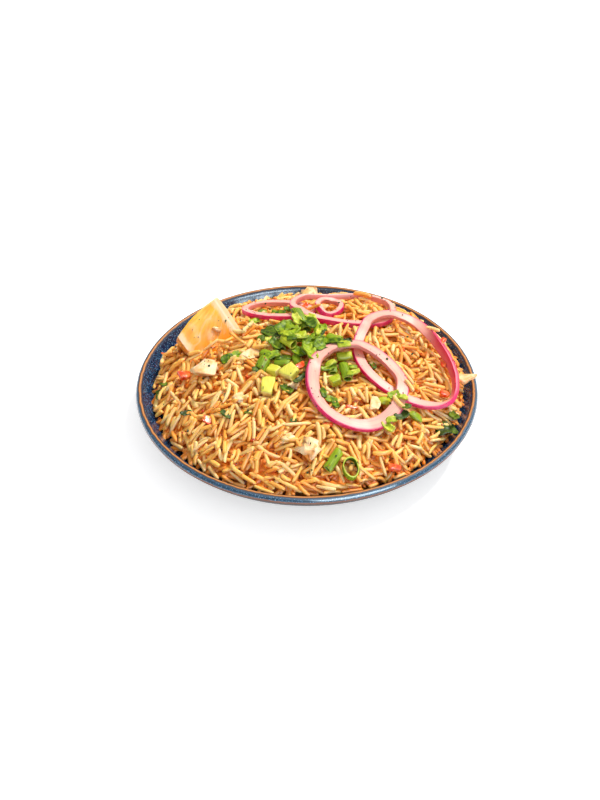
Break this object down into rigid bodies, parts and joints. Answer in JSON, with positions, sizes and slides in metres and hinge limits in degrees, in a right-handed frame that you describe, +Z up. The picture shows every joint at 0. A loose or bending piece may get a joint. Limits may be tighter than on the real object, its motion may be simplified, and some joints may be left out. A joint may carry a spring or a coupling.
{
  "type": "plate of vegetable fried rice",
  "caption": "Round coupe plate heaped with vegetable fried rice, with a lemon wedge, red onion rings and cut spring onion laid on top.",
  "frame": {"origin": "centre of the plate's foot ring, on the surface that the plate stands on", "axes": "+Z up, +X to the eater's right, -Y towards the eater; the lemon lies at the back left"},
  "size_m": [0.21, 0.21, 0.059],
  "materials": {
    "plate_glaze": "speckled blue glaze on stoneware, brown where it thins at the rim",
    "rice": "moist cooked grain",
    "lemon": "wet flesh with a cream pith",
    "onion": "moist, with a purple skin edge",
    "spring_onion_green": "satin",
    "spring_onion_light": "satin",
    "spring_onion_pale": "satin",
    "leaf": "satin",
    "pale_vegetable": "moist",
    "red_pepper": "moist"
  },
  "bodies": {
    "root": {"plate": "plate_glaze", "rice_heap": "rice", "lemon_wedge": "lemon", "pale_vegetable_back": "pale_vegetable", "onion_ring_left": "onion", "onion_ring_back": "onion", "onion_ring_small": "onion", "green_leaf": "leaf", "scallion_back_under": "spring_onion_green", "scallion_back": "spring_onion_green", "scallion_upright": "spring_onion_green", "scallion_dark_end": "spring_onion_green", "scallion_light_open": "spring_onion_light", "scallion_broad": "spring_onion_light", "scallion_small": "spring_onion_green", "scallion_mid_strip": "spring_onion_green", "scallion_left_rear": "spring_onion_green", "scallion_left_front": "spring_onion_green", "scallion_mid_low": "spring_onion_green", "scallion_right": "spring_onion_green", "scallion_shaded": "spring_onion_green", "scallion_bud": "spring_onion_light", "scallion_white_cube": "spring_onion_pale", "scallion_yellow_front": "spring_onion_pale", "scallion_yellow_slice": "spring_onion_pale", "pale_vegetable_shard": "pale_vegetable", "onion_ring_right": "onion", "scallion_inner_dark": "spring_onion_green", "scallion_inner": "spring_onion_green", "scallion_inner_top": "spring_onion_light", "scallion_inner_cube": "spring_onion_light", "onion_bud": "spring_onion_light", "onion_ring_front": "onion", "green_pod": "spring_onion_green", "scallion_front": "spring_onion_green", "scallion_front_ring": "spring_onion_green", "pale_vegetable_lemon": "pale_vegetable", "pale_vegetable_front": "pale_vegetable", "red_pepper_left": "red_pepper", "red_pepper_front": "red_pepper", "red_pepper_right": "red_pepper"}
  },
  "joints": []
}
